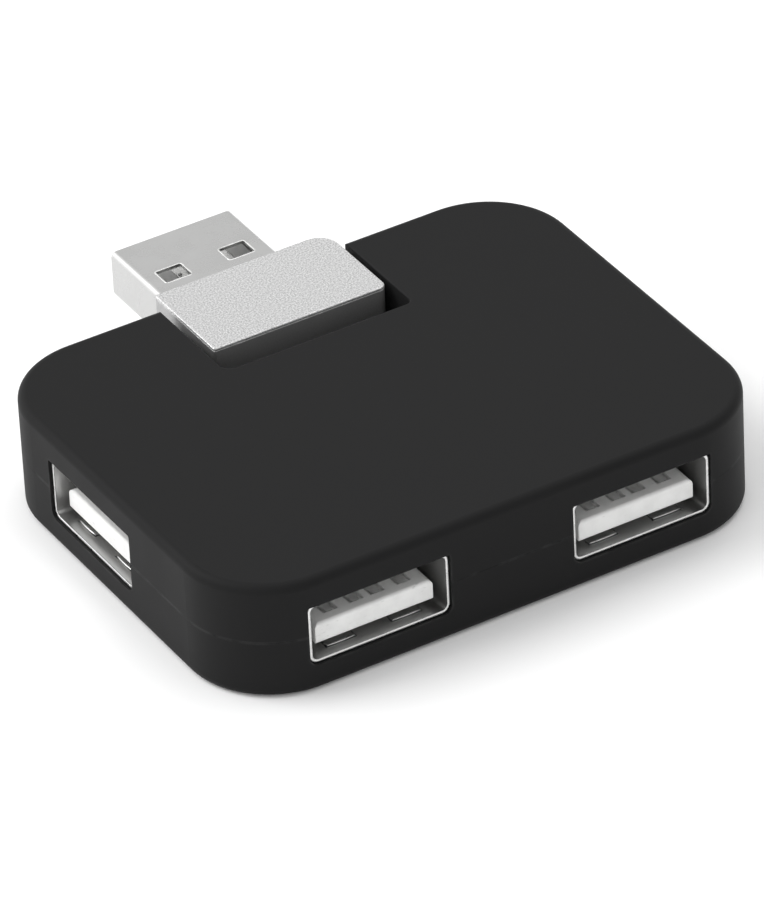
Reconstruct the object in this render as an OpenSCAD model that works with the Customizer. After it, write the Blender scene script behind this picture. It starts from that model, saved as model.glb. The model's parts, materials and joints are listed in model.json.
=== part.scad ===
// Pocket hub with four receptacles and a plug that folds down and under the casing.
// Frame: origin at the centre of the casing's underside, +Z up, the plug points along +Y.
// Units: millimetres.

/* [Casing] */
// Width of the casing, side to side
casing_w = 52.6; // [52:0.1:54]
// Depth of the casing, front to plug edge
casing_d = 41.6; // [41:0.1:43]
// Thickness of the casing
casing_h = 11.0; // [10.9:0.05:11.3]
// Radius of the casing's corners in plan
corner_r = 8.0; // [7:0.1:9]
// Rounding of the casing's top and bottom edges
edge_r = 0.8; // [0.4:0.1:1]
// Thickness of the side walls
wall = 1.5; // [1.4:0.1:1.6]
// Thickness of the top and bottom walls
skin = 1.2; // [1:0.1:1.3]

/* [Plug notch] */
// Width of the notch that holds the plug block
notch_w = 18.3; // [18.2:0.1:18.5]
// Sideways place of the notch's middle
notch_x = -0.15; // [-0.2:0.05:-0.1]
// Depth of the notch from the casing's plug edge
notch_d = 11.4; // [11:0.1:11.8]

/* [Plug block] */
// Width of the block
block_w = 17.05; // [16.9:0.05:17.1]
// Depth of the block
block_d = 10.1; // [9.95:0.05:10.2]
// Sideways place of the block's middle
block_x = 0.0; // [-0.05:0.05:0.05]
// How far the block stands out of the casing's plug edge
block_out = 2.0; // [1.85:0.05:2.1]
// Thickness of the block's lid
lid_t = 0.25; // [0.22:0.01:0.3]

/* [Plug] */
// Sideways place of the plug's middle
plug_x = -2.0; // [-2.1:0.05:-1.9]
// Length of plug that shows beyond the block
plug_reach = 8.45; // [8.2:0.05:8.6]
// Depth of the plug's top below the block's top
plug_drop = 0.45; // [0.43:0.01:0.5]

/* [Receptacles] */
// Distance of each front receptacle's middle from the casing's middle
front_spread = 12.65; // [12.5:0.05:12.8]
// Place of the side receptacles' middle along Y
side_y = 3.2; // [3:0.1:3.4]
// How far the mouths sit inside the casing's faces
mouth_sunk = 0.3; // [0.2:0.05:0.4]

/* [Hidden] */
$fn = 48;

// Standard sizes of the connectors
plug_w = 12.0;
plug_h = 4.5;
plug_t = 0.3;
port_w = 13.4;
port_h = 5.85;
port_t = 0.3;
port_len = 14.0;
port_corner = 0.8;
pin_offsets = [-3.5, -1.0, 1.0, 3.5];
latch_offset = 3.12;

// Gaps between pieces
seam = 0.02;
fit = 0.05;
over = 1.0;
round_gap = 0.01;

// Casing levels
split_z = casing_h / 2;
port_z = casing_h / 2;
board_z = port_z + port_h / 2;
board_t = 1.0;
floor_z = skin;
roof_z = casing_h - skin;

// Notch
notch_x0 = notch_x - notch_w / 2;
notch_x1 = notch_x + notch_w / 2;
notch_y = casing_d / 2 - notch_d;
notch_radii = [1.1, 0.6];
mouth_r = 0.4;
notch_edge_r = 0.2;
notch_wall = 1.2;

// Block and its hinge
block_x0 = block_x - block_w / 2;
block_x1 = block_x + block_w / 2;
block_y1 = casing_d / 2 + block_out;
block_y0 = block_y1 - block_d;
block_radii = [0.3, 0.7, 2.0, 0.3];
block_wall = 0.9;
block_edge_r = 0.06;
block_under_r = 0.25;
pocket_radii = [0.3, 0.3, 1.1, 0.3];
rib_t = 0.8;
rib_back = 2.1;
lid_edge_r = 0.12;
lid_under_r = 0.05;
lip_t = 0.7;
lip_h = 1.0;
tray_top = casing_h - lid_t - seam;
hinge_y = (block_y0 + block_y1) / 2;
hinge_z = casing_h / 2;
trunnion_r = 2.0;
trunnion_bore_r = 1.2;
trunnion_right_x = 10.9;
trunnion_left_x = -11.4;
saddle_depth = 1.0;
saddle_margin = 1.2;

// Plug
plug_z1 = casing_h - plug_drop;
plug_z0 = plug_z1 - plug_h;
plug_mid_z = (plug_z0 + plug_z1) / 2;
plug_tip_y = block_y1 + plug_reach;
plug_rear_y = 17.2;
plug_corner = 0.6;
plug_left = plug_x - plug_w / 2;
plug_right = plug_x + plug_w / 2;
plug_fold_z = 2 * hinge_z - plug_z0;
plug_fold_tip_y = 2 * hinge_y - plug_tip_y;
window_w = 2.5;
window_len = 2.0;
window_from_tip = 4.8;
window_r = 0.2;
rear_step = 0.6;
head_len = 3.2;
nose_back = 0.4;
slot_end = 1.0;
outer_pin_back = 1.3;
inner_pin_back = 2.3;
pin_proud = 0.02;

// Lip of the side walls that hides the top of each rim
rim_cover = 0.1;
rim_gap = 0.03;
lip_corner = 0.2;

// Recess in the underside that takes the folded plug, with room for a fingernail at its tip
recess_side = 0.8;
recess_x0 = plug_left - recess_side;
recess_x1 = plug_right + recess_side;
nail_room = 2.7;
recess_y0 = plug_fold_tip_y - nail_room;
recess_top = plug_fold_z + 0.25;
recess_wall = 1.0;
recess_r = 1.0;

// Posts that close the casing and carry the board
post_places = [[-22, -12.5], [22, -12.5], [-21, 13.5], [21, 13.5]];
post_r = 0.93;
post_bore_r = 0.95;
post_boss_r = 1.9;
post_reach = 2.0;
board_hole_r = 1.1;
board_gap = 0.4;
board_corner = 0.8;

// Receptacle details, measured from the mouth and from the receptacle's middle
tongue_w = 11.2;
tongue_t = 1.98;
tongue_z = -1.85;
tongue_y = 0.85;
tongue_end_y = 10.5;
tongue_nose_r = 0.3;
tongue_side_radii = [0.15, 0.15, 0.5, 0.5];
rear_y = 10.2;
rear_corner = 0.4;
pin_w = 1.0;
pin_t = 0.25;
pin_y = 2.05;
pin_tip_w = 0.6;
pin_taper = 1.3;
pin_sunk = 0.05;
groove_y = 0.15;
groove_side = 0.2;
groove_under = 0.1;
bump_y = 3.5;
bump_r = 1.05;
bump_drop = 0.75;
tail_w = 0.4;
tail_y = 11.9;
tail_hole_r = 0.45;
tail_out = 0.3;
leaf_w = 2.9;
leaf_len = 5.6;
leaf_y = 0.95;
leaf_slot = 0.1;
leaf_lip = 0.1;
leaf_lip_t = 0.3;
tab_y = [5.5, 9.0];
tab_w = 1.2;
tab_root = 0.9;
back_slot_w = 10.4;
back_slot_y = 10.4;
back_slot_len = 3.0;

// Parts on the board's underside
chip_size = [9.9, 3.9, 1.5];
chip_place = [0, -4.0];
chip_pin_pitch = 0.65;
chip_pins_a_side = 14;
chip_standoff = 0.15;
chip_mark_in = 0.9;
chip_mark_r = 0.4;
chip_mark_depth = 0.1;
chip_pin_w = 0.26;
chip_pin_t = 0.15;
chip_pin_drop = 0.9;
chip_pin_out = 0.25;
chip_pin_foot = 0.8;
crystal_size = [11.0, 4.65, 3.4];
crystal_place = [0, -11.5];
crystal_brim = 0.4;
crystal_brim_t = 0.4;
can_place = [-16, 14];
can_r = 2.5;
can_h = 4.6;
can_base = 5.3;
can_base_t = 0.8;
can_base_radii = [0.2, 1.0, 1.0, 0.2];
can_groove_z = 1.1;
can_groove_r = 0.4;
can_groove_depth = 0.25;
ceramic_size = [2.0, 1.25, 1.1];
ceramic_places = [[-8.5, -4.4], [8.5, -4.4], [-8.5, 0], [8.5, 0], [-8.5, 4], [8.5, 4], [0, -16.3]];
resistor_size = [1.6, 0.8, 0.45];
resistor_places = [[-4.5, 1.2], [-1.5, 1.2], [1.5, 1.2], [4.5, 1.2], [-3, -16.3], [3, -16.3]];
fuse_size = [4.5, 3.2, 1.1];
fuse_place = [0, 4.4];

// Leads: the place of each in the bundle that passes through the hinge
lead_r = 0.38;
lead_sides = 10;
lead_ease = 0.38;
lead_names = ["red", "white", "green", "black"];
lead_step = 0.42;
lead_bundle = [[-1, 1], [-1, -1], [1, 1], [1, -1]];
lead_split_x = 9.5;
lead_split_gap = 0.1;
pad_x = 12.4;
pad_y = 13.8;
pad_pitch = 1.9;
pad_drop = 1.1;
lane_x = 7.0;
lane_y = 14.2;
lane_z = 8.3;
lane_pitch = 0.85;
lane_stagger = 0.8;
plug_tail_y = 15.0;

// ---------- Flat shapes ----------

// The sliver between a square corner and its rounding of radius r, centred on the rounding
module corner_sliver(r) {
    difference() {
        square(r + over);
        circle(r);
    }
}

// Rectangle [x0, x1, y0, y1] with one corner radius each: front left, front right, back right, back left
module panel(box, radii) {
    centres = [
        [box[0] + radii[0], box[2] + radii[0]],
        [box[1] - radii[1], box[2] + radii[1]],
        [box[1] - radii[2], box[3] - radii[2]],
        [box[0] + radii[3], box[3] - radii[3]]
    ];
    difference() {
        translate([box[0], box[2]])
            square([box[1] - box[0], box[3] - box[2]]);
        for (i = [0:3])
            if (radii[i] > 0)
                translate(centres[i])
                    rotate(180 + 90 * i)
                        corner_sliver(radii[i]);
    }
}

// Rectangle centred on the origin with equal corners
module centred_panel(w, h, r) {
    panel([-w / 2, w / 2, -h / 2, h / 2], [r, r, r, r]);
}

// ---------- Solid helpers ----------

// Extrudes a shape drawn in X and Z along +Y
module along_y(len) {
    translate([0, len, 0])
        rotate([90, 0, 0])
            linear_extrude(len)
                children();
}

// Extrudes a shape drawn in Y and Z along +X
module along_x(len) {
    rotate([90, 0, 90])
        linear_extrude(len)
            children();
}

// Cylinder along X from x0 to x1 on the hinge axis
module hinge_rod(x0, x1, r) {
    translate([x0, hinge_y, hinge_z])
        rotate([0, 90, 0])
            cylinder(h = x1 - x0, r = r);
}

// Outer band of a plate seen end on: X points outwards, Y up
module edge_band(e, h, top_r, bottom_r) {
    difference() {
        square([e, h]);
        translate([e - top_r, h - top_r])
            corner_sliver(top_r);
        if (bottom_r > 0)
            translate([e - bottom_r, bottom_r])
                rotate(-90)
                    corner_sliver(bottom_r);
    }
}

// Plate of height h on box, with corner radii and with rounded top and bottom edges
module rounded_plate(box, radii, h, top_r, bottom_r) {
    e = max(top_r, bottom_r);
    centres = [
        [box[0] + radii[0], box[2] + radii[0]],
        [box[1] - radii[1], box[2] + radii[1]],
        [box[1] - radii[2], box[3] - radii[2]],
        [box[0] + radii[3], box[3] - radii[3]]
    ];
    linear_extrude(h)
        panel([box[0] + e, box[1] - e, box[2] + e, box[3] - e], [for (r = radii) r - e]);
    for (i = [0:3]) {
        next = centres[(i + 1) % 4];
        out = [[0, -1], [1, 0], [0, 1], [-1, 0]][i];
        edge = [box[2], box[1], box[3], box[0]][i];
        step = next - centres[i];
        run = norm([(1 - abs(out[0])) * step[0], (1 - abs(out[1])) * step[1]]);
        mid = (centres[i] + next) / 2;
        translate(centres[i])
            rotate(180 + 90 * i)
                rotate_extrude(angle = 90)
                    translate([radii[i] - e, 0])
                        edge_band(e, h, top_r, bottom_r);
        translate([
            out[0] == 0 ? mid[0] : edge - out[0] * e,
            out[1] == 0 ? mid[1] : edge - out[1] * e,
            0
        ])
            rotate(-90 + 90 * i)
                translate([0, -run / 2, 0])
                    along_y(run)
                        edge_band(e, h, top_r, bottom_r);
    }
}

function unit(v) = v / norm(v);

// A route with each corner eased over a short length
function eased(points, cut) = concat(
    [points[0]],
    [
        for (i = [1:len(points) - 2], t = [0, 0.5, 1])
            let (
                a = points[i] + cut * unit(points[i - 1] - points[i]),
                b = points[i] + cut * unit(points[i + 1] - points[i])
            )
            (1 - t) * (1 - t) * a + 2 * t * (1 - t) * points[i] + t * t * b
    ],
    [points[len(points) - 1]]
);

// Direction of a route at each of its points
function directions(route) = [
    for (i = [0:len(route) - 1])
        unit(route[min(i + 1, len(route) - 1)] - route[max(i - 1, 0)])
];

// Sideways vectors that follow the route without twisting
function sideways(dirs, last, i = 0) =
    i == len(dirs) ? [] :
    let (side = unit(last - dirs[i] * (last * dirs[i])))
    concat([side], sideways(dirs, side, i + 1));

// Round lead swept along a list of points
module lead_through(points) {
    route = eased(points, lead_ease);
    dirs = directions(route);
    sides = sideways(dirs, [0, 0, 1]);
    rings = len(route);
    verts = [
        for (i = [0:rings - 1], k = [0:lead_sides - 1])
            let (a = 360 * k / lead_sides)
            route[i] + lead_r * (cos(a) * sides[i] + sin(a) * cross(dirs[i], sides[i]))
    ];
    skin_faces = [
        for (i = [0:rings - 2], k = [0:lead_sides - 1])
            let (
                a = i * lead_sides + k,
                b = i * lead_sides + (k + 1) % lead_sides
            )
            each [[a, b, b + lead_sides], [a, b + lead_sides, a + lead_sides]]
    ];
    start_face = [for (k = [lead_sides - 1:-1:0]) k];
    end_face = [for (k = [0:lead_sides - 1]) (rings - 1) * lead_sides + k];
    polyhedron(points = verts, faces = concat([start_face], [end_face], skin_faces));
}

// Block of a given size hanging from the board's underside at a place
module under_board(place, size, gap = 0) {
    translate([place[0] - size[0] / 2, place[1] - size[1] / 2, board_z - gap - size[2]])
        cube(size);
}

// ---------- Casing ----------

// The casing's outline less an inset
module casing_outline(inset) {
    centred_panel(casing_w - 2 * inset, casing_d - 2 * inset, corner_r - inset);
}

// The notch in plan, with rounded inner corners and a flared mouth
module notch_outline() {
    mouth_y = casing_d / 2;
    panel([notch_x0, notch_x1, notch_y, mouth_y + over], [notch_radii[0], notch_radii[1], 0, 0]);
    for (side = [0, 1])
        translate([side == 0 ? notch_x0 : notch_x1, mouth_y])
            mirror([1 - side, 0])
                translate([mouth_r, -mouth_r])
                    difference() {
                        translate([-mouth_r, 0])
                            square([mouth_r, mouth_r + over]);
                        circle(mouth_r);
                    }
}

// Region that the notch's walls take up in plan
module notch_surround() {
    panel(
        [notch_x0 - notch_wall, notch_x1 + notch_wall, notch_y - notch_wall, casing_d / 2],
        [notch_radii[0], notch_radii[1], 0, 0]
    );
}

// What the rounding of the notch's top edge takes away
module notch_edge_cut() {
    r = notch_edge_r;
    z = casing_h - r;
    for (side = [0, 1]) {
        wall_x = side == 0 ? notch_x0 : notch_x1;
        inner_r = notch_radii[side];
        translate([wall_x, notch_y + inner_r, z])
            mirror([1 - side, 0, 0]) {
                translate([r, 0, 0])
                    along_y(notch_d)
                        rotate(90)
                            corner_sliver(r);
                translate([-inner_r, 0, 0])
                    rotate(-90)
                        rotate_extrude(angle = 90)
                            translate([inner_r + r, 0])
                                intersection() {
                                    rotate(90)
                                        corner_sliver(r);
                                    translate([-r, -over])
                                        square([r, 2 * over]);
                                }
            }
    }
    translate([notch_x0 + notch_radii[0], notch_y, z])
        along_x(notch_w - notch_radii[0] - notch_radii[1])
            translate([-r, 0])
                corner_sliver(r);
}

// Everything that the notch takes out of the casing
module notch_cut() {
    translate([0, 0, -over])
        linear_extrude(casing_h + 2 * over)
            notch_outline();
    notch_edge_cut();
    translate([0, 0, casing_h])
        mirror([0, 0, 1])
            notch_edge_cut();
}

// Puts a receptacle, drawn with its mouth at the origin and its body along +Y, in its place
module at_port(i) {
    place = [
        [-casing_w / 2 + mouth_sunk, side_y, port_z],
        [-front_spread, -casing_d / 2 + mouth_sunk, port_z],
        [front_spread, -casing_d / 2 + mouth_sunk, port_z],
        [casing_w / 2 - mouth_sunk, side_y, port_z]
    ][i];
    translate(place)
        rotate([-90, 0, 0, 90][i])
            children();
}

// Openings in the side walls for the four receptacles, with a lip over the top of each rim
module port_windows() {
    half_w = port_w / 2 + fit;
    half_h = port_h / 2;
    low_r = port_corner + fit;
    for (i = [0:3])
        at_port(i) {
            translate([0, -rim_gap, 0])
                along_y(wall + 2 * over)
                    centred_panel(port_w + 2 * fit, port_h + 2 * fit, low_r);
            translate([0, -mouth_sunk - over, 0])
                along_y(mouth_sunk + over)
                    panel(
                        [-half_w, half_w, -half_h - fit, half_h - rim_cover],
                        [low_r, low_r, lip_corner, lip_corner]
                    );
        }
}

// Blocks beside the notch that carry the trunnions
module saddle_blocks(z0, z1) {
    front_y = hinge_y - trunnion_r - saddle_margin;
    back_y = (casing_d - wall) / 2;
    for (x = [notch_x0 - notch_wall - saddle_depth, notch_x1 + notch_wall])
        translate([x, front_y, z0])
            cube([saddle_depth, back_y - front_y, z1 - z0]);
}

// Round seats for the trunnions
module trunnion_seats() {
    hinge_rod(trunnion_left_x - over, block_x0, trunnion_r + fit);
    hinge_rod(block_x1, trunnion_right_x + over, trunnion_r + fit);
}

module upper_casing() {
    color([0.18, 0.18, 0.19])
        difference() {
            union() {
                difference() {
                    translate([0, 0, split_z + seam / 2])
                        rounded_plate(
                            [-casing_w / 2, casing_w / 2, -casing_d / 2, casing_d / 2],
                            [corner_r, corner_r, corner_r, corner_r],
                            casing_h - split_z - seam / 2, edge_r, 0
                        );
                    translate([0, 0, split_z - over])
                        linear_extrude(roof_z - split_z + over)
                            difference() {
                                casing_outline(wall);
                                notch_surround();
                            }
                }
                saddle_blocks(split_z + seam / 2, roof_z + over / 2);
                for (p = post_places) {
                    translate([p[0], p[1], board_z + board_t])
                        cylinder(h = roof_z + over / 2 - board_z - board_t, r = post_boss_r);
                    translate([p[0], p[1], split_z - post_reach])
                        cylinder(h = roof_z + over / 2 - split_z + post_reach, r = post_r);
                }
            }
            notch_cut();
            port_windows();
            trunnion_seats();
        }
}

module lower_casing() {
    roof_y1 = notch_y - notch_wall - fit;
    color([0.18, 0.18, 0.19])
        difference() {
            union() {
                difference() {
                    rounded_lower();
                    translate([0, 0, floor_z])
                        linear_extrude(casing_h)
                            difference() {
                                casing_outline(wall);
                                notch_surround();
                            }
                }
                saddle_blocks(floor_z / 2, split_z - seam / 2);
                translate([recess_x0 - recess_wall, recess_y0 - recess_wall, floor_z / 2])
                    cube([
                        recess_x1 - recess_x0 + 2 * recess_wall,
                        roof_y1 - recess_y0 + recess_wall,
                        recess_top + recess_wall - floor_z / 2
                    ]);
                for (p = post_places)
                    translate([p[0], p[1], floor_z / 2])
                        cylinder(h = board_z - floor_z / 2, r = post_boss_r);
            }
            notch_cut();
            port_windows();
            trunnion_seats();
            translate([recess_x0, 0, -over])
                linear_extrude(recess_top + over)
                    panel([0, recess_x1 - recess_x0, recess_y0, roof_y1 + over], [recess_r, recess_r, 0, 0]);
            translate([recess_x0, notch_y - notch_wall - over, -over])
                cube([recess_x1 - recess_x0, notch_wall + 2 * over, recess_top + over]);
            for (p = post_places)
                translate([p[0], p[1], floor_z + over])
                    cylinder(h = casing_h, r = post_bore_r);
        }
}

// Lower half of the casing before it is hollowed
module rounded_lower() {
    translate([0, 0, split_z - seam / 2])
        mirror([0, 0, 1])
            rounded_plate(
                [-casing_w / 2, casing_w / 2, -casing_d / 2, casing_d / 2],
                [corner_r, corner_r, corner_r, corner_r],
                split_z - seam / 2, edge_r, 0
            );
}

// ---------- Board and its parts ----------

module circuit_board() {
    margin = wall + board_gap;
    cut_x0 = notch_x0 - notch_wall - saddle_depth - board_gap;
    cut_x1 = notch_x1 + notch_wall + saddle_depth + board_gap;
    cut_y = notch_y - notch_wall - board_gap;
    color([0.05, 0.32, 0.16])
        translate([0, 0, board_z])
            difference() {
                linear_extrude(board_t)
                    difference() {
                        casing_outline(margin);
                        panel([cut_x0, cut_x1, cut_y, casing_d], [board_corner, board_corner, 0, 0]);
                    }
                for (p = post_places)
                    translate([p[0], p[1], -over])
                        cylinder(h = board_t + 2 * over, r = board_hole_r);
                for (i = [0:3])
                    translate([0, 0, -board_z])
                        at_port(i)
                            board_holes();
            }
}

// Holes that one receptacle needs in the board
module board_holes() {
    z = port_h / 2 - over;
    for (x = pin_offsets)
        translate([x, tail_y, z])
            cylinder(h = board_t + 2 * over, r = tail_hole_r);
    for (side = [-1, 1], y = tab_y)
        translate([side * (port_w - port_t) / 2 - port_t / 2 - 2 * fit, y - tab_w / 2 - 2 * fit, z])
            cube([port_t + 4 * fit, tab_w + 4 * fit, board_t + 2 * over]);
}

module hub_controller() {
    low_z = board_z - chip_standoff - chip_size[2];
    color([0.08, 0.08, 0.08])
        difference() {
            under_board(chip_place, chip_size, chip_standoff);
            translate([
                chip_place[0] - chip_size[0] / 2 + chip_mark_in,
                chip_place[1] - chip_size[1] / 2 + chip_mark_in,
                low_z - over
            ])
                cylinder(h = over + chip_mark_depth, r = chip_mark_r);
        }
}

module controller_leads() {
    root_y = chip_size[1] / 2;
    bend_y = root_y + chip_pin_out;
    middle = (chip_pins_a_side - 1) / 2;
    color([0.75, 0.75, 0.77])
        for (side = [0, 1], i = [0:chip_pins_a_side - 1])
            translate([
                chip_place[0] + (i - middle) * chip_pin_pitch - chip_pin_w / 2,
                chip_place[1],
                board_z
            ])
                mirror([0, side, 0]) {
                    translate([0, root_y, -chip_pin_drop])
                        cube([chip_pin_w, chip_pin_out + chip_pin_t, chip_pin_t]);
                    translate([0, bend_y, -chip_pin_drop])
                        cube([chip_pin_w, chip_pin_t, chip_pin_drop]);
                    translate([0, bend_y, -chip_pin_t])
                        cube([chip_pin_w, chip_pin_foot, chip_pin_t]);
                }
}

module crystal_can() {
    w = crystal_size[0];
    d = crystal_size[1];
    can_w = w - 2 * crystal_brim;
    can_d = d - 2 * crystal_brim;
    color([0.8, 0.8, 0.82])
        translate([crystal_place[0], crystal_place[1], board_z - crystal_size[2]]) {
            linear_extrude(crystal_size[2] - crystal_brim_t)
                centred_panel(can_w, can_d, can_d / 2 - round_gap);
            translate([0, 0, crystal_size[2] - crystal_brim_t])
                linear_extrude(crystal_brim_t)
                    centred_panel(w, d, d / 2 - round_gap);
        }
}

module capacitor_can() {
    color([0.72, 0.73, 0.75])
        translate([can_place[0], can_place[1], board_z - can_base_t - can_h])
            difference() {
                cylinder(h = can_h, r = can_r);
                translate([0, 0, can_h - can_groove_z])
                    rotate_extrude()
                        translate([can_r + can_groove_r - can_groove_depth, 0])
                            circle(can_groove_r);
            }
}

module capacitor_base() {
    half = can_base / 2;
    color([0.1, 0.1, 0.1])
        translate([can_place[0], can_place[1], board_z - can_base_t])
            linear_extrude(can_base_t)
                panel([-half, half, -half, half], can_base_radii);
}

module ceramic_capacitors() {
    color([0.65, 0.5, 0.35])
        for (p = ceramic_places)
            under_board(p, ceramic_size);
}

module chip_resistors() {
    color([0.1, 0.1, 0.12])
        for (p = resistor_places)
            under_board(p, resistor_size);
}

module resettable_fuse() {
    color([0.15, 0.4, 0.2])
        under_board(fuse_place, fuse_size);
}

// ---------- Receptacles ----------

// Slots that free one spring leaf in the wall on side s (-1 bottom, 1 top)
module leaf_slots(s) {
    for (x = [-latch_offset, latch_offset])
        translate([x, 0, s * port_h / 2]) {
            translate([-leaf_w / 2, leaf_y, -over / 2])
                cube([leaf_w, leaf_slot, over]);
            for (side = [-1, 1])
                translate([side * (leaf_w - leaf_slot) / 2 - leaf_slot / 2, leaf_y, -over / 2])
                    cube([leaf_slot, leaf_len, over]);
        }
}

// Turned-in front edges of the two leaves on side s
module leaf_lips(s) {
    z0 = s < 0 ? -port_h / 2 : port_h / 2 - port_t - leaf_lip;
    for (x = [-latch_offset, latch_offset])
        translate([x - leaf_w / 2 + leaf_slot, leaf_y + leaf_slot, z0])
            cube([leaf_w - 2 * leaf_slot, leaf_lip_t, port_t + leaf_lip]);
}

module receptacle_shell() {
    tab_h = board_t + tail_out + tab_root;
    color([0.78, 0.78, 0.8])
        difference() {
            union() {
                difference() {
                    along_y(port_len)
                        centred_panel(port_w, port_h, port_corner);
                    translate([0, -over, 0])
                        along_y(port_len - port_t + over)
                            centred_panel(port_w - 2 * port_t, port_h - 2 * port_t, port_corner - port_t);
                }
                leaf_lips(-1);
                leaf_lips(1);
                for (side = [-1, 1], y = tab_y)
                    translate([
                        side * (port_w - port_t) / 2 - port_t / 2,
                        y - tab_w / 2,
                        port_h / 2 - tab_root
                    ])
                        cube([port_t, tab_w, tab_h]);
            }
            leaf_slots(-1);
            leaf_slots(1);
            translate([-back_slot_w / 2, back_slot_y, port_h / 2 - over / 2])
                cube([back_slot_w, back_slot_len, over]);
        }
}

// Room that the contacts need in the insulator
module contact_grooves() {
    groove_w = pin_w + 2 * groove_side;
    low_z = tongue_z + tongue_t - pin_t - groove_under;
    for (x = pin_offsets) {
        translate([x - groove_w / 2, pin_y - groove_y, low_z])
            cube([groove_w, tail_y + tail_w - pin_y, pin_t + 2 * groove_under]);
        translate([x - groove_w / 2, tail_y - tail_w, low_z])
            cube([groove_w, 2 * tail_w, port_h]);
    }
}

module receptacle_insulator() {
    inner_w = port_w - 2 * port_t - 2 * fit;
    inner_h = port_h - 2 * port_t - 2 * fit;
    top = tongue_z + tongue_t;
    color([0.95, 0.95, 0.93])
        difference() {
            union() {
                intersection() {
                    translate([-tongue_w / 2, 0, 0])
                        along_x(tongue_w)
                            panel(
                                [tongue_y, tongue_end_y, tongue_z, top],
                                [tongue_nose_r, 0, 0, tongue_nose_r]
                            );
                    along_y(tongue_end_y)
                        panel([-tongue_w / 2, tongue_w / 2, tongue_z, top], tongue_side_radii);
                }
                translate([0, rear_y, 0])
                    along_y(port_len - port_t - fit - rear_y)
                        centred_panel(inner_w, inner_h, rear_corner);
            }
            contact_grooves();
        }
}

// One contact in plan, with a narrower tip
module contact_blade() {
    half = pin_w / 2;
    tip = pin_tip_w / 2;
    end_y = tail_y + tail_w / 2;
    polygon([
        [-tip, pin_y],
        [tip, pin_y],
        [half, pin_y + pin_taper],
        [half, end_y],
        [-half, end_y],
        [-half, pin_y + pin_taper]
    ]);
}

module receptacle_contacts() {
    top = tongue_z + tongue_t;
    low_z = top - pin_t - pin_sunk;
    color([0.8, 0.8, 0.8])
        for (x = pin_offsets)
            translate([x, 0, 0]) {
                translate([0, 0, low_z])
                    linear_extrude(pin_t)
                        contact_blade();
                intersection() {
                    translate([-pin_w / 2, pin_y + bump_y, top - bump_drop])
                        rotate([0, 90, 0])
                            cylinder(h = pin_w, r = bump_r);
                    translate([-pin_w, pin_y, low_z + pin_t / 2])
                        cube([2 * pin_w, 2 * bump_y, bump_r]);
                }
                translate([-tail_w / 2, tail_y - tail_w / 2, low_z])
                    cube([tail_w, tail_w, port_h / 2 + board_t + tail_out - low_z]);
            }
}

// ---------- Leads ----------

// Place of lead i in the bundle at x
function bundle_point(i, x) = [
    x,
    hinge_y + lead_step * lead_bundle[i][0],
    hinge_z + lead_step * lead_bundle[i][1]
];

module hub_lead(i) {
    x = pad_x + pad_pitch * i;
    color(lead_names[i])
        lead_through([
            bundle_point(i, lead_split_x + lead_split_gap / 2),
            bundle_point(i, x),
            [x, pad_y, board_z - pad_drop],
            [x, pad_y, board_z]
        ]);
}

module plug_lead(i) {
    x = lane_x - lane_stagger * i;
    z = lane_z - lane_pitch * i;
    end_x = plug_x + pin_offsets[3 - i];
    color(lead_names[i])
        lead_through(concat(
            [
                bundle_point(i, lead_split_x - lead_split_gap / 2),
                bundle_point(i, x),
                [x, lane_y, z],
                [end_x, lane_y, z]
            ],
            i == 0 ? [] : [[end_x, lane_y, lane_z]],
            [[end_x, plug_tail_y, lane_z]]
        ));
}

// ---------- Plug ----------

module plug_housing() {
    block_box = [block_x0, block_x1, block_y0, block_y1];
    inner_x0 = block_x0 + block_wall;
    inner_x1 = block_x1 - block_wall;
    inner_y0 = block_y0 + block_wall;
    inner_y1 = block_y1 - block_wall;
    rib_y = inner_y1 - rib_back;
    color([0.72, 0.72, 0.73])
        difference() {
            union() {
                difference() {
                    rounded_plate(block_box, block_radii, tray_top, block_edge_r, block_under_r);
                    translate([0, 0, block_wall])
                        linear_extrude(casing_h)
                            panel([inner_x0, inner_x1, inner_y0, inner_y1], pocket_radii);
                }
                translate([inner_x0 - block_wall / 2, rib_y, block_wall / 2])
                    cube([plug_right + block_wall + rib_t - inner_x0, rib_t, plug_mid_z - block_wall / 2]);
                hinge_rod(block_x1 - block_wall / 2, trunnion_right_x, trunnion_r);
                hinge_rod(trunnion_left_x, block_x0 + block_wall / 2, trunnion_r);
            }
            translate([plug_left - fit, inner_y0, plug_z0 - fit])
                cube([plug_w + 2 * fit, block_d, casing_h]);
            hinge_rod(block_x1 - block_wall - over / 2, trunnion_right_x + over, trunnion_bore_r);
        }
}

module plug_lid() {
    lip_x0 = block_x0 + block_wall + fit;
    lip_x1 = block_x1 - block_wall - fit;
    lip_y0 = block_y0 + block_wall + fit;
    lip_y1 = block_y1 - block_wall - pocket_radii[2];
    lip_z = tray_top - lip_h;
    root_z = casing_h - lid_t / 2;
    block_box = [block_x0, block_x1, block_y0, block_y1];
    color([0.75, 0.75, 0.76]) {
        translate([0, 0, casing_h - lid_t])
            rounded_plate(block_box, block_radii, lid_t, lid_edge_r, lid_under_r);
        translate([lip_x0, lip_y0, lip_z])
            cube([lip_x1 - lip_x0, lip_t, root_z - lip_z]);
        translate([lip_x1 - lip_t, lip_y0, lip_z])
            cube([lip_t, lip_y1 - lip_y0, root_z - lip_z]);
        translate([plug_left, block_y1 - block_wall, plug_z1 + fit])
            cube([plug_w, block_wall - fit, root_z - plug_z1 - fit]);
    }
}

// Cross-section of the plug's shell less an inset
module plug_outline(inset) {
    centred_panel(plug_w - 2 * inset, plug_h - 2 * inset, plug_corner - inset);
}

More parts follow.
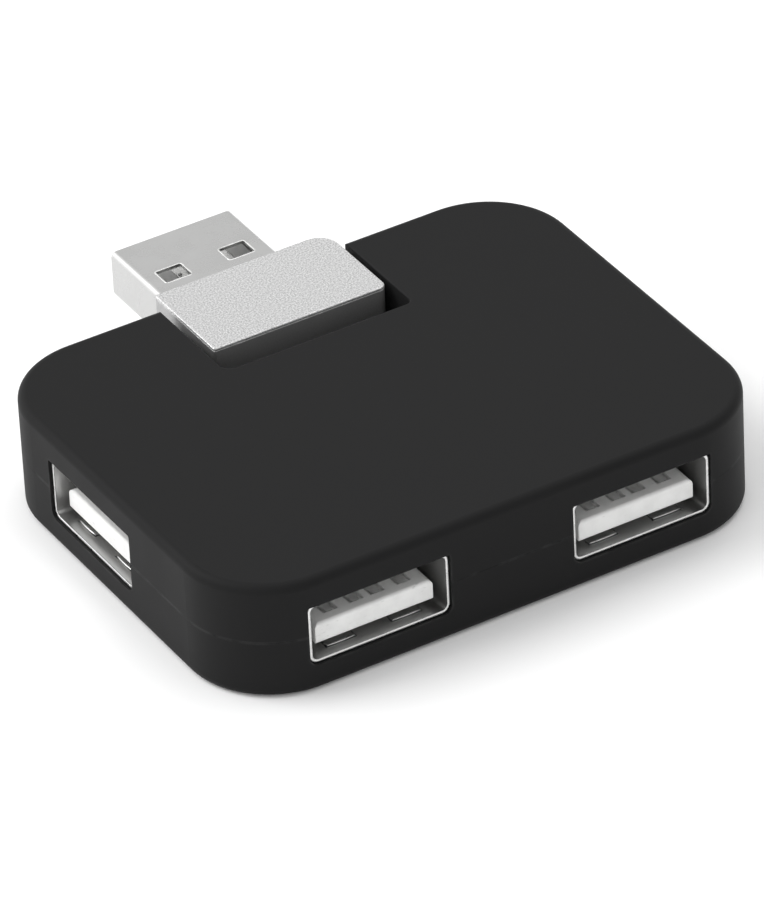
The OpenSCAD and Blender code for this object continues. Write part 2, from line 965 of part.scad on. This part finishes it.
module plug_shell() {
    color([0.8, 0.8, 0.82])
        difference() {
            translate([plug_x, plug_rear_y, plug_mid_z])
                difference() {
                    along_y(plug_tip_y - plug_rear_y)
                        plug_outline(0);
                    translate([0, -over, 0])
                        along_y(plug_tip_y - plug_rear_y + 2 * over)
                            plug_outline(plug_t);
                }
            for (x = [-latch_offset, latch_offset])
                translate([plug_x + x, plug_tip_y - window_from_tip - window_len / 2, plug_z0 - over])
                    linear_extrude(plug_h + 2 * over)
                        centred_panel(window_w, window_len, window_r);
        }
}

module plug_insulator() {
    inner_w = plug_w - 2 * plug_t - 2 * fit;
    inner_h = plug_h - 2 * plug_t - 2 * fit;
    rear_y = plug_rear_y - rear_step;
    low_z = plug_z0 + plug_t + fit;
    slot_len = plug_tip_y - slot_end - rear_y + over;
    color([0.93, 0.93, 0.92])
        difference() {
            translate([plug_x - inner_w / 2, rear_y, low_z]) {
                cube([inner_w, plug_tip_y - nose_back - rear_y, lane_z - low_z]);
                cube([inner_w, head_len, inner_h]);
            }
            for (x = pin_offsets)
                translate([plug_x + x - pin_w / 2 - fit, rear_y - over, lane_z - pin_t])
                    cube([pin_w + 2 * fit, slot_len, pin_t + fit]);
        }
}

module plug_contacts() {
    color([0.8, 0.8, 0.8])
        for (i = [0:3]) {
            front = plug_tip_y - (i == 0 || i == 3 ? outer_pin_back : inner_pin_back);
            translate([plug_x + pin_offsets[i] - pin_w / 2, plug_tail_y, lane_z - pin_t + pin_proud])
                cube([pin_w, front - plug_tail_y, pin_t]);
        }
}

// ---------- Nodes ----------

upper_casing();
lower_casing();
circuit_board();
hub_controller();
controller_leads();
crystal_can();
capacitor_can();
capacitor_base();
ceramic_capacitors();
chip_resistors();
resettable_fuse();
at_port(0) receptacle_shell();  // shell_left
at_port(1) receptacle_shell();  // shell_front_left
at_port(2) receptacle_shell();  // shell_front_right
at_port(3) receptacle_shell();  // shell_right
at_port(0) receptacle_insulator();  // insulator_left
at_port(1) receptacle_insulator();  // insulator_front_left
at_port(2) receptacle_insulator();  // insulator_front_right
at_port(3) receptacle_insulator();  // insulator_right
at_port(0) receptacle_contacts();  // contacts_left
at_port(1) receptacle_contacts();  // contacts_front_left
at_port(2) receptacle_contacts();  // contacts_front_right
at_port(3) receptacle_contacts();  // contacts_right
hub_lead(0);  // hub_lead_red
hub_lead(1);  // hub_lead_white
hub_lead(2);  // hub_lead_green
hub_lead(3);  // hub_lead_black
plug_housing();
plug_lid();
plug_shell();
plug_insulator();
plug_contacts();
plug_lead(0);  // plug_lead_red
plug_lead(1);  // plug_lead_white
plug_lead(2);  // plug_lead_green
plug_lead(3);  // plug_lead_black
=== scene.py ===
"""Looks of the hub: materials, fine sheet-metal details, floor, light and camera."""

import json
import math

import bpy
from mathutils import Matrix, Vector


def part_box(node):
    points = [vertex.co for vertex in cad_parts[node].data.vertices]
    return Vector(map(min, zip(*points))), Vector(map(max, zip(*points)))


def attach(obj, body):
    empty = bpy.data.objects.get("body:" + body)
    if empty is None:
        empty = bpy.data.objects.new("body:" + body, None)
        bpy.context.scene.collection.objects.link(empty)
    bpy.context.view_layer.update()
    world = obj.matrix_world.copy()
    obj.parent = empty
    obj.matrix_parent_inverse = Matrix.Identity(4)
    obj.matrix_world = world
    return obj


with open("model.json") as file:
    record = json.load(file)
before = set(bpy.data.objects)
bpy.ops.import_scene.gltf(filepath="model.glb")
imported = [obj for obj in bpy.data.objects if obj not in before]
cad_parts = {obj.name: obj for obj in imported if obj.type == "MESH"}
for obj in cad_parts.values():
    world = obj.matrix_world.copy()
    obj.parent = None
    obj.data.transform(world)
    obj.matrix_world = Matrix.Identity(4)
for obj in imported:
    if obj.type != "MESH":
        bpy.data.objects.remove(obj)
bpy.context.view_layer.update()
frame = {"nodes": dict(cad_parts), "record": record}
NODES = frame["nodes"]
PORTS = ["left", "front_left", "front_right", "right"]
MM = 0.001

# The same sizes as in the CAD model
PORT_H = 5.85 * MM
SHEET = 0.3 * MM
LATCH_X = 3.12 * MM
PIN_X = [-3.5, -1.0, 1.0, 3.5]


# ---------------------------------------------------------------- node helpers


def blank(name):
    mat = bpy.data.materials.new(name)
    mat.use_nodes = True
    tree = mat.node_tree
    return mat, tree, tree.nodes["Principled BSDF"]


def add(tree, kind, **values):
    """A shader node with its properties and unlinked inputs set by name."""
    node = tree.nodes.new(kind)
    for key, value in values.items():
        if hasattr(node, key):
            setattr(node, key, value)
        else:
            node.inputs[key.replace("_", " ")].default_value = value
    return node


def place(tree):
    """Object coordinates in millimetres."""
    coords = tree.nodes.new("ShaderNodeTexCoord")
    scaled = add(tree, "ShaderNodeVectorMath", operation="SCALE")
    scaled.inputs["Scale"].default_value = 1 / MM
    tree.links.new(coords.outputs["Object"], scaled.inputs[0])
    return scaled.outputs[0]


def noise(tree, where, per_mm, detail=3.0, rough=0.55, stretch=None):
    """Noise of about per_mm features in a millimetre, squeezed along the axes by stretch."""
    if stretch:
        mapped = add(tree, "ShaderNodeMapping")
        mapped.inputs["Scale"].default_value = stretch
        tree.links.new(where, mapped.inputs["Vector"])
        where = mapped.outputs[0]
    node = add(tree, "ShaderNodeTexNoise", Scale=per_mm, Detail=detail, Roughness=rough)
    tree.links.new(where, node.inputs["Vector"])
    return node.outputs[0]


def remap(tree, value, low, high, to_low, to_high):
    """Takes low..high to to_low..to_high, and clamps what lies outside."""
    node = add(tree, "ShaderNodeMapRange")
    for i, number in enumerate((low, high, to_low, to_high)):
        node.inputs[i + 1].default_value = number
    tree.links.new(value, node.inputs[0])
    return node.outputs[0]


def maths(tree, operation, a, b):
    node = add(tree, "ShaderNodeMath", operation=operation)
    for socket, value in zip(node.inputs, (a, b)):
        if isinstance(value, (int, float)):
            socket.default_value = value
        else:
            tree.links.new(value, socket)
    return node.outputs[0]


def mix_colour(tree, factor, a, b):
    node = add(tree, "ShaderNodeMix", data_type="RGBA")
    tree.links.new(factor, node.inputs["Factor"])
    for socket, value in ((node.inputs[6], a), (node.inputs[7], b)):
        if isinstance(value, tuple):
            socket.default_value = (*value, 1)
        else:
            tree.links.new(value, socket)
    return node.outputs[2]


def bump(tree, height, distance_mm, strength=1.0, on=None):
    """A normal roughened by height, on top of another normal where one is given."""
    node = add(tree, "ShaderNodeBump")
    node.inputs["Strength"].default_value = strength
    node.inputs["Distance"].default_value = distance_mm * MM
    tree.links.new(height, node.inputs["Height"])
    if on is not None:
        tree.links.new(on, node.inputs["Normal"])
    return node.outputs[0]


def rounding(tree, radius_mm):
    """A normal that rounds hard edges by this radius."""
    node = add(tree, "ShaderNodeBevel")
    node.samples = 6
    node.inputs["Radius"].default_value = radius_mm * MM
    return node.outputs[0]


def edge_share(tree, radius_mm, low, high):
    """0 on flat ground, rising to 1 at edges, from how far a rounded normal turns."""
    bevelled = rounding(tree, radius_mm)
    geometry = tree.nodes.new("ShaderNodeNewGeometry")
    dot = add(tree, "ShaderNodeVectorMath", operation="DOT_PRODUCT")
    tree.links.new(bevelled, dot.inputs[0])
    tree.links.new(geometry.outputs["Normal"], dot.inputs[1])
    return remap(tree, dot.outputs["Value"], low, high, 1.0, 0.0)


# ------------------------------------------------------------------- materials


def soft_touch_black():
    """Matt rubbery lacquer over black plastic, slightly hazy, with a painted highlight in patches along its
    edges, which are also smoother.
    """
    mat, tree, skin = blank("casing_soft_touch")
    where = place(tree)
    link = tree.links.new
    grain = noise(tree, where, 9.0, 4.0, 0.6)
    haze = noise(tree, where, 0.12, 3.0)
    # Painted edge highlight: a lighter colour in patches along the edges, which are also made smoother.
    edge_highlight_mask = edge_share(tree, 0.35, 0.90, 0.995)
    patches = remap(tree, noise(tree, where, 0.6, 4.0), 0.42, 0.62, 0.0, 1.0)
    painted_edge_highlight = maths(tree, "MULTIPLY", maths(tree, "MULTIPLY", edge_highlight_mask, patches), 0.5)
    tone = mix_colour(
        tree,
        remap(tree, haze, 0.3, 0.7, 0.0, 1.0),
        (0.0066, 0.0066, 0.0068),
        (0.0088, 0.0088, 0.0090),
    )
    link(mix_colour(tree, painted_edge_highlight, tone, (0.034, 0.034, 0.034)), skin.inputs["Base Color"])
    rough = remap(tree, haze, 0.3, 0.7, 0.56, 0.66)
    link(maths(tree, "SUBTRACT", rough, maths(tree, "MULTIPLY", painted_edge_highlight, 0.2)), skin.inputs["Roughness"])
    skin.inputs["Specular IOR Level"].default_value = 0.13
    skin.inputs["Sheen Weight"].default_value = 0.02
    skin.inputs["Sheen Roughness"].default_value = 0.5
    link(bump(tree, grain, 0.012, 0.35), skin.inputs["Normal"])
    return mat


def silver_paint(name, low_tone, high_tone, grain, rough):
    """Metallic lacquer, with a painted highlight in patches along its edges. grain is how strong its fine
    texture is, from 0 to 1.
    """
    mat, tree, paint = blank(name)
    where = place(tree)
    link = tree.links.new
    flake = add(tree, "ShaderNodeTexVoronoi", Scale=8.0)
    link(where, flake.inputs["Vector"])
    orange_peel = noise(tree, where, 7.0, 1.5, 0.6)
    cloud = noise(tree, where, 0.5, 3.0)
    tone = mix_colour(tree, remap(tree, orange_peel, 0.36, 0.64, 0.0, 1.0), low_tone, high_tone)
    middle = tuple((a + b) / 2 for a, b in zip(low_tone, high_tone))
    clouded = mix_colour(tree, remap(tree, cloud, 0.3, 0.7, 0.0, 0.3), tone, middle)
    # Painted edge highlight: a lighter colour in patches along the edges.
    edge_highlight_mask = maths(
        tree,
        "MULTIPLY",
        edge_share(tree, 0.16, 0.93, 0.999),
        remap(tree, noise(tree, where, 1.4, 4.0), 0.45, 0.6, 0.0, 0.8),
    )
    link(mix_colour(tree, edge_highlight_mask, clouded, (0.86, 0.86, 0.86)), paint.inputs["Base Color"])
    paint.inputs["Metallic"].default_value = 0.7
    link(remap(tree, orange_peel, 0.3, 0.7, rough + 0.05, rough - 0.05), paint.inputs["Roughness"])
    paint.inputs["Coat Weight"].default_value = 0.1
    paint.inputs["Coat Roughness"].default_value = 0.3
    fine = bump(tree, orange_peel, 0.012, grain, rounding(tree, 0.1))
    link(bump(tree, flake.outputs["Distance"], 0.006, grain, fine), paint.inputs["Normal"])
    return mat


def satin_steel(name, tone, rough, edge_mm, seam_x=None):
    """Rolled and plated sheet. seam_x is where a fold's butt seam runs along Y, in millimetres."""
    mat, tree, steel = blank(name)
    where = place(tree)
    link = tree.links.new
    lines = noise(tree, where, 3.5, 3.0, 0.6, (1.0, 6.0, 6.0))
    smear = noise(tree, where, 0.35, 3.0)
    dark = tuple(c * 0.95 for c in tone)
    link(mix_colour(tree, remap(tree, smear, 0.3, 0.7, 0.0, 1.0), dark, tone), steel.inputs["Base Color"])
    steel.inputs["Metallic"].default_value = 1.0
    wear = maths(tree, "ADD", smear, maths(tree, "MULTIPLY", lines, 0.3))
    link(remap(tree, wear, 0.45, 0.85, *rough), steel.inputs["Roughness"])
    height = lines
    if seam_x is not None:
        apart = add(tree, "ShaderNodeSeparateXYZ")
        link(where, apart.inputs[0])
        off = maths(tree, "ABSOLUTE", maths(tree, "SUBTRACT", apart.outputs[0], seam_x), 0.0)
        groove = remap(tree, off, 0.02, 0.07, -8.0, 0.0)
        below = remap(tree, apart.outputs[2], 6.2, 6.3, 1.0, 0.0)
        height = maths(tree, "ADD", lines, maths(tree, "MULTIPLY", groove, below))
    link(bump(tree, height, 0.003, 0.3, rounding(tree, edge_mm)), steel.inputs["Normal"])
    return mat


def moulded(name, tone, rough, grain=0.004, wax=0.0, scuffs=0.0):
    """Moulded plastic, with a waxy glow and fine dark scuffs where asked for."""
    mat, tree, body = blank(name)
    where = place(tree)
    link = tree.links.new
    cloud = noise(tree, where, 0.8, 3.0)
    fine = noise(tree, where, 12.0, 2.0)
    dark = tuple(c * 0.93 for c in tone)
    colour = mix_colour(tree, remap(tree, cloud, 0.35, 0.65, 0.0, 1.0), dark, tone)
    if scuffs:
        strokes = remap(tree, noise(tree, where, 1.1, 2.0, 0.5, (1.0, 1.0, 6.0)), 0.66, 0.72, 0.0, 1.0)
        patches = remap(tree, noise(tree, where, 0.45, 2.0), 0.5, 0.6, 0.0, scuffs)
        grey = tuple(c * 0.62 for c in tone)
        colour = mix_colour(tree, maths(tree, "MULTIPLY", strokes, patches), colour, grey)
    link(colour, body.inputs["Base Color"])
    link(remap(tree, cloud, 0.3, 0.7, rough - 0.05, rough + 0.05), body.inputs["Roughness"])
    if wax:
        body.inputs["Subsurface Weight"].default_value = wax
        body.inputs["Subsurface Radius"].default_value = (0.4 * MM, 0.4 * MM, 0.4 * MM)
        body.inputs["Subsurface Scale"].default_value = 1.0
    link(bump(tree, fine, grain, 0.4, rounding(tree, 0.1)), body.inputs["Normal"])
    return mat


def plated(name, tone, rough, metallic=1.0):
    """Plated or bare metal with a faint cloud in its tone and its gloss."""
    mat, tree, metal = blank(name)
    where = place(tree)
    link = tree.links.new
    cloud = noise(tree, where, 1.5, 3.0)
    dark = tuple(c * 0.8 for c in tone)
    link(mix_colour(tree, remap(tree, cloud, 0.35, 0.65, 0.0, 1.0), dark, tone), metal.inputs["Base Color"])
    metal.inputs["Metallic"].default_value = metallic
    link(remap(tree, cloud, 0.3, 0.7, rough - 0.06, rough + 0.08), metal.inputs["Roughness"])
    link(bump(tree, noise(tree, where, 8.0), 0.003, 0.3, rounding(tree, 0.08)), metal.inputs["Normal"])
    return mat


LOOKS = {
    "casing": soft_touch_black(),
    "silver_paint": silver_paint("silver_lacquer", (0.38, 0.38, 0.38), (0.80, 0.80, 0.80), 1.0, 0.42),
    "steel": satin_steel("satin_steel", (0.52, 0.52, 0.515), (0.28, 0.38), 0.06),
    "white_plastic": moulded("white_nylon", (0.84, 0.84, 0.83), 0.45, wax=0.1, scuffs=0.7),
    "contacts": plated("nickel_flash", (0.72, 0.72, 0.71), 0.22),
    "board": moulded("solder_mask", (0.010, 0.105, 0.040), 0.3),
    "package_black": moulded("package_epoxy", (0.014, 0.014, 0.015), 0.6),
    "tinned": plated("tin", (0.66, 0.66, 0.68), 0.3),
    "nickel_can": plated("nickel", (0.68, 0.66, 0.62), 0.22),
    "aluminium_can": plated("aluminium_sleeve", (0.75, 0.76, 0.78), 0.3),
    "ceramic": moulded("ceramic_tan", (0.42, 0.29, 0.17), 0.5),
    "fuse_green": moulded("fuse_epoxy", (0.06, 0.23, 0.10), 0.4),
    "wire_red": moulded("insulation_red", (0.55, 0.02, 0.02), 0.4),
    "wire_white": moulded("insulation_white", (0.78, 0.78, 0.76), 0.4),
    "wire_green": moulded("insulation_green", (0.02, 0.28, 0.06), 0.4),
    "wire_black": moulded("insulation_black", (0.015, 0.015, 0.016), 0.4),
}

plug_low, plug_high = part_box("plug_shell")
plug_x = (plug_low.x + plug_high.x) / 2
PLUG_STEEL = satin_steel("plug_steel", (0.575, 0.575, 0.57), (0.24, 0.32), 0.06, seam_x=plug_x / MM)
WORN_CONTACT = plated("contact_satin", (0.66, 0.66, 0.65), 0.42, metallic=0.2)
# A darker copy of the silver lacquer with less grain, for the plug housing: painted shade on its sides.
SIDE_PAINTED_SHADE = silver_paint("silver_lacquer_painted_shade", (0.38, 0.38, 0.38), (0.42, 0.42, 0.42), 0.12, 0.34)
SPECIAL = {"plug_shell": PLUG_STEEL, "plug_housing": SIDE_PAINTED_SHADE}
SPECIAL.update({"contacts_" + port: WORN_CONTACT for port in PORTS})

for part in frame["record"]["subparts"]:
    mesh = NODES[part["node"]].data
    mesh.materials.clear()
    mesh.materials.append(SPECIAL.get(part["node"], LOOKS[part["material_slot"]]))


# --------------------------------------------------- fine sheet-metal details

# A brighter copy of the steel for rims and rolled edges: painted highlight.
EDGE_PAINTED_HIGHLIGHT = plated("steel_edge_painted_highlight", (0.80, 0.80, 0.79), 0.3)
# Near white and not metallic, for the bosses and ridges on the plug's contacts: painted highlight.
CONTACT_PAINTED_HIGHLIGHT = plated("contact_boss_painted_highlight", (0.95, 0.95, 0.94), 0.25, metallic=0.0)


def new_piece(name, verts, faces, material, body, slot):
    mesh = bpy.data.meshes.new(name)
    mesh.from_pydata([tuple(v) for v in verts], [], faces)
    mesh.update()
    for polygon in mesh.polygons:
        polygon.use_smooth = True
    mesh.materials.append(material)
    thing = bpy.data.objects.new(name, mesh)
    bpy.context.scene.collection.objects.link(thing)
    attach(thing, body)


def rounded_loop(w, h, r, steps=7):
    """Points and outward directions round a rectangle with rounded corners, centred on the origin."""
    loop = []
    for i, (cx, cy) in enumerate([(1, 1), (-1, 1), (-1, -1), (1, -1)]):
        for k in range(steps + 1):
            a = math.pi / 2 * (i + k / steps)
            out = (math.cos(a), math.sin(a))
            loop.append(((cx * (w / 2 - r) + r * out[0], cy * (h / 2 - r) + r * out[1]), out))
    return loop


def bead(centre, across, along, size, corner, half_width, rise):
    """Vertices and faces of a rounded bead that follows a rounded rectangle of this size."""
    centre, across, along = Vector(centre), Vector(across), Vector(along)
    normal = across.cross(along)
    arc = [math.pi * k / 6 for k in range(7)]
    section = [(half_width * math.cos(a), rise * math.sin(a)) for a in arc]
    section += [(-half_width, -rise), (half_width, -rise)]
    loop = rounded_loop(*size, corner)
    verts = [
        centre + across * (x + ox * out) + along * (y + oy * out) + normal * up_by
        for (x, y), (ox, oy) in loop
        for out, up_by in section
    ]
    n, m = len(loop), len(section)
    faces = [
        (i * m + k, ((i + 1) % n) * m + k, ((i + 1) % n) * m + (k + 1) % m, i * m + (k + 1) % m)
        for i in range(n)
        for k in range(m)
    ]
    return verts, faces


def ellipsoid(centre, across, along, radii, low=0.0):
    """Vertices and faces of an ellipsoid cut off below low, from -1 to 1 of its height."""
    rings = 8
    spokes = 20
    centre, across, along = Vector(centre), Vector(across), Vector(along)
    normal = across.cross(along)
    end = math.acos(low)
    verts = [centre + normal * radii[2]]
    for i in range(1, rings + 1):
        a = end * i / rings
        for k in range(spokes):
            b = 2 * math.pi * k / spokes
            x, y = radii[0] * math.sin(a) * math.cos(b), radii[1] * math.sin(a) * math.sin(b)
            verts.append(centre + across * x + along * y + normal * radii[2] * math.cos(a))
    faces = [(0, 1 + k, 1 + (k + 1) % spokes) for k in range(spokes)]
    for i in range(rings - 1):
        for k in range(spokes):
            a, b = 1 + i * spokes + k, 1 + i * spokes + (k + 1) % spokes
            faces.append((a, a + spokes, b + spokes, b))
    last = 1 + (rings - 1) * spokes
    faces.append(tuple(range(last + spokes - 1, last - 1, -1)))
    return verts, faces


def port_place(port):
    """Middle of a receptacle's mouth, the direction across it, and its width."""
    low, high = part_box("shell_" + port)
    z = low.z + PORT_H / 2
    y = (low.y + high.y) / 2
    if port == "left":
        return Vector((low.x, y, z)), Vector((0, -1, 0)), high.y - low.y
    if port == "right":
        return Vector((high.x, y, z)), Vector((0, 1, 0)), high.y - low.y
    return Vector(((low.x + high.x) / 2, low.y, z)), Vector((1, 0, 0)), high.x - low.x


UP = Vector((0, 0, 1))
RIM_CORNER = 0.65 * MM
RIM_HALF = 0.15 * MM
RIM_RISE = 0.05 * MM
LIP_BACK = 1.08 * MM
LIP_HALF = 1.35 * MM
LIP_ROUND = 0.07 * MM
LIP_STAND = 0.1 * MM
LIP_Z = PORT_H / 2 - SHEET - LIP_STAND

# A sheared rim round each mouth, and the rolled front edge of each spring leaf, both in brighter steel:
# painted highlight
for port in PORTS:
    mouth, across, width = port_place(port)
    rim_size = (width - SHEET, PORT_H - SHEET)
    rim = bead(mouth, across, UP, rim_size, RIM_CORNER, RIM_HALF, RIM_RISE)
    new_piece("rim_" + port, *rim, EDGE_PAINTED_HIGHLIGHT, "hub", "steel")
    inward = -across.cross(UP)
    verts = []
    faces = []
    for x in (-LATCH_X, LATCH_X):
        for wall in (-1, 1):
            centre = mouth + across * x + inward * LIP_BACK + UP * wall * LIP_Z
            lip = ellipsoid(centre, across, inward * -wall, (LIP_HALF, LIP_ROUND * 2, LIP_ROUND))
            faces += [tuple(i + len(verts) for i in face) for face in lip[1]]
            verts += lip[0]
    new_piece("leaf_edges_" + port, verts, faces, EDGE_PAINTED_HIGHLIGHT, "hub", "steel")

# A rolled edge round each of the plug's windows, in the same brighter steel: painted highlight
WINDOW_SIZE = (2.62 * MM, 2.12 * MM)
WINDOW_FROM_TIP = 5.8 * MM
WINDOW_CORNER = 0.24 * MM
WINDOW_HALF = 0.09 * MM
WINDOW_RISE = 0.04 * MM
WINDOW_SINK = 0.02 * MM
for side, x in (("left", -LATCH_X), ("right", LATCH_X)):
    for face, z, along in (("top", plug_high.z, 1), ("bottom", plug_low.z, -1)):
        centre = (plug_x + x, plug_high.y - WINDOW_FROM_TIP, z - along * WINDOW_SINK)
        edge = bead(
            centre, (1, 0, 0), (0, along, 0), WINDOW_SIZE, WINDOW_CORNER, WINDOW_HALF, WINDOW_RISE
        )
        new_piece("window_edge_" + face + "_" + side, *edge, EDGE_PAINTED_HIGHLIGHT, "plug", "steel")

# Each of the plug's contacts has a domed boss, and a coined ridge down each side, coloured near white as a
# painted highlight
BOSS_FROM_TIP = 3.4 * MM
BOSS_SIDE = 0.25 * MM
BOSS_RADII = (0.22 * MM, 0.22 * MM, 0.2 * MM)
RIDGE_SIDE = 0.42 * MM
RIDGE_RADII = (0.07 * MM, 2.4 * MM, 0.08 * MM)
OUTER_RIDGE_FROM_TIP = 4.2 * MM
INNER_RIDGE_FROM_TIP = 5.2 * MM
BOSS_SINK = 0.015 * MM
contact_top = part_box("plug_contacts")[1].z - BOSS_SINK
for i, x in enumerate(PIN_X):
    middle = plug_x + x * MM
    boss_at = (middle - BOSS_SIDE, plug_high.y - BOSS_FROM_TIP, contact_top)
    boss = ellipsoid(boss_at, (1, 0, 0), (0, 1, 0), BOSS_RADII)
    new_piece("contact_boss_%d" % i, *boss, CONTACT_PAINTED_HIGHLIGHT, "plug", "contacts")
    ridge_y = plug_high.y - (INNER_RIDGE_FROM_TIP if i in (1, 2) else OUTER_RIDGE_FROM_TIP)
    for side, name in ((-1, "a"), (1, "b")):
        ridge_at = (middle + side * RIDGE_SIDE, ridge_y, contact_top)
        ridge = ellipsoid(ridge_at, (1, 0, 0), (0, 1, 0), RIDGE_RADII)
        new_piece("contact_ridge_%d_%s" % (i, name), *ridge, CONTACT_PAINTED_HIGHLIGHT, "plug", "contacts")


# ------------------------------------------------------- floor, lights, camera

AZIMUTH = math.radians(-29.494)
ELEVATION = math.radians(34.498)
ROLL = math.radians(3.006)
DISTANCE = 682.3 * MM
FOCAL = 324.42
TARGET = Vector((0, 0, 6.5)) * MM

back = Vector(
    (
        math.sin(AZIMUTH) * math.cos(ELEVATION),
        -math.cos(AZIMUTH) * math.cos(ELEVATION),
        math.sin(ELEVATION),
    )
)
right = Vector((math.cos(AZIMUTH), math.sin(AZIMUTH), 0))
up = back.cross(right)
OFFSET = right * 0.027 * MM + up * 1.798 * MM
rolled_right = right * math.cos(ROLL) - up * math.sin(ROLL)
rolled_up = right * math.sin(ROLL) + up * math.cos(ROLL)

camera_data = bpy.data.cameras.new("camera")
camera_data.lens = FOCAL
camera_data.sensor_width = 36.0
camera_data.clip_start = 0.01
camera_data.clip_end = 10.0
camera = bpy.data.objects.new("camera", camera_data)
bpy.context.scene.collection.objects.link(camera)
turn = camera.matrix_world.to_3x3()
turn.col[0] = rolled_right
turn.col[1] = rolled_up
turn.col[2] = back
camera.matrix_world = turn.to_4x4()
camera.location = TARGET + back * DISTANCE - OFFSET
bpy.context.scene.camera = camera


FLOOR_HALF = 3.0
FLOOR_DROP = 0.02 * MM


def floor():
    size = FLOOR_HALF
    mesh = bpy.data.meshes.new("floor")
    mesh.from_pydata(
        [(-size, -size, 0), (size, -size, 0), (size, size, 0), (-size, size, 0)], [], [(0, 1, 2, 3)]
    )
    thing = bpy.data.objects.new("floor", mesh)
    thing.location.z = -FLOOR_DROP
    bpy.context.scene.collection.objects.link(thing)
    mat, tree, paper = blank("floor_paper")
    paper.inputs["Base Color"].default_value = (0.93, 0.93, 0.93, 1)
    paper.inputs["Roughness"].default_value = 0.9
    paper.inputs["Specular IOR Level"].default_value = 0.1
    mesh.materials.append(mat)


def area_light(name, azimuth, elevation, distance, size, power, aim=(0, 0, 0.005)):
    """Square light seen from the object at this azimuth and elevation, in degrees."""
    a, e = math.radians(azimuth), math.radians(elevation)
    way = Vector((math.sin(a) * math.cos(e), -math.cos(a) * math.cos(e), math.sin(e)))
    data = bpy.data.lights.new(name, "AREA")
    data.shape = "RECTANGLE"
    data.size, data.size_y = size
    data.energy = power
    thing = bpy.data.objects.new(name, data)
    bpy.context.scene.collection.objects.link(thing)
    thing.location = Vector(aim) + way * distance
    thing.rotation_mode = "QUATERNION"
    thing.rotation_quaternion = way.to_track_quat("Z", "Y")


ROOM_STRENGTH = 0.47


def studio_world():
    """White room with soft brighter patches on the left, behind and in front."""
    world = bpy.data.worlds.new("studio")
    world.use_nodes = True
    tree = world.node_tree
    coords = tree.nodes.new("ShaderNodeTexCoord")
    strength = 0.0
    # Each lobe: its direction, the cosines at which it starts and is full, and its strength
    lobes = [
        ((-0.93, 0.05, 0.36), 0.1, 1.0, 0.62),
        ((0.406, 0.717, 0.566), 0.3, 1.0, 0.42),
        ((-0.566, 0.717, 0.406), 0.84, 0.97, 0.8),
        ((0.1, -0.93, 0.36), 0.1, 1.0, 0.28),
    ]
    for way, low, high, gain in lobes:
        dot = add(tree, "ShaderNodeVectorMath", operation="DOT_PRODUCT")
        tree.links.new(coords.outputs["Generated"], dot.inputs[0])
        dot.inputs[1].default_value = way
        strength = maths(tree, "ADD", strength, remap(tree, dot.outputs["Value"], low, high, 0.0, gain))
    background = tree.nodes["Background"]
    background.inputs["Color"].default_value = (1, 1, 1, 1)
    tree.links.new(maths(tree, "ADD", strength, ROOM_STRENGTH), background.inputs["Strength"])
    bpy.context.scene.world = world


floor()
studio_world()
area_light("key", -125, 48, 0.9, (0.45, 0.45), 3.2)
area_light("top", 100, 72, 0.9, (0.5, 0.5), 1.2)
bpy.context.scene.view_settings.view_transform = "Standard"
bpy.context.scene.view_settings.look = "None"
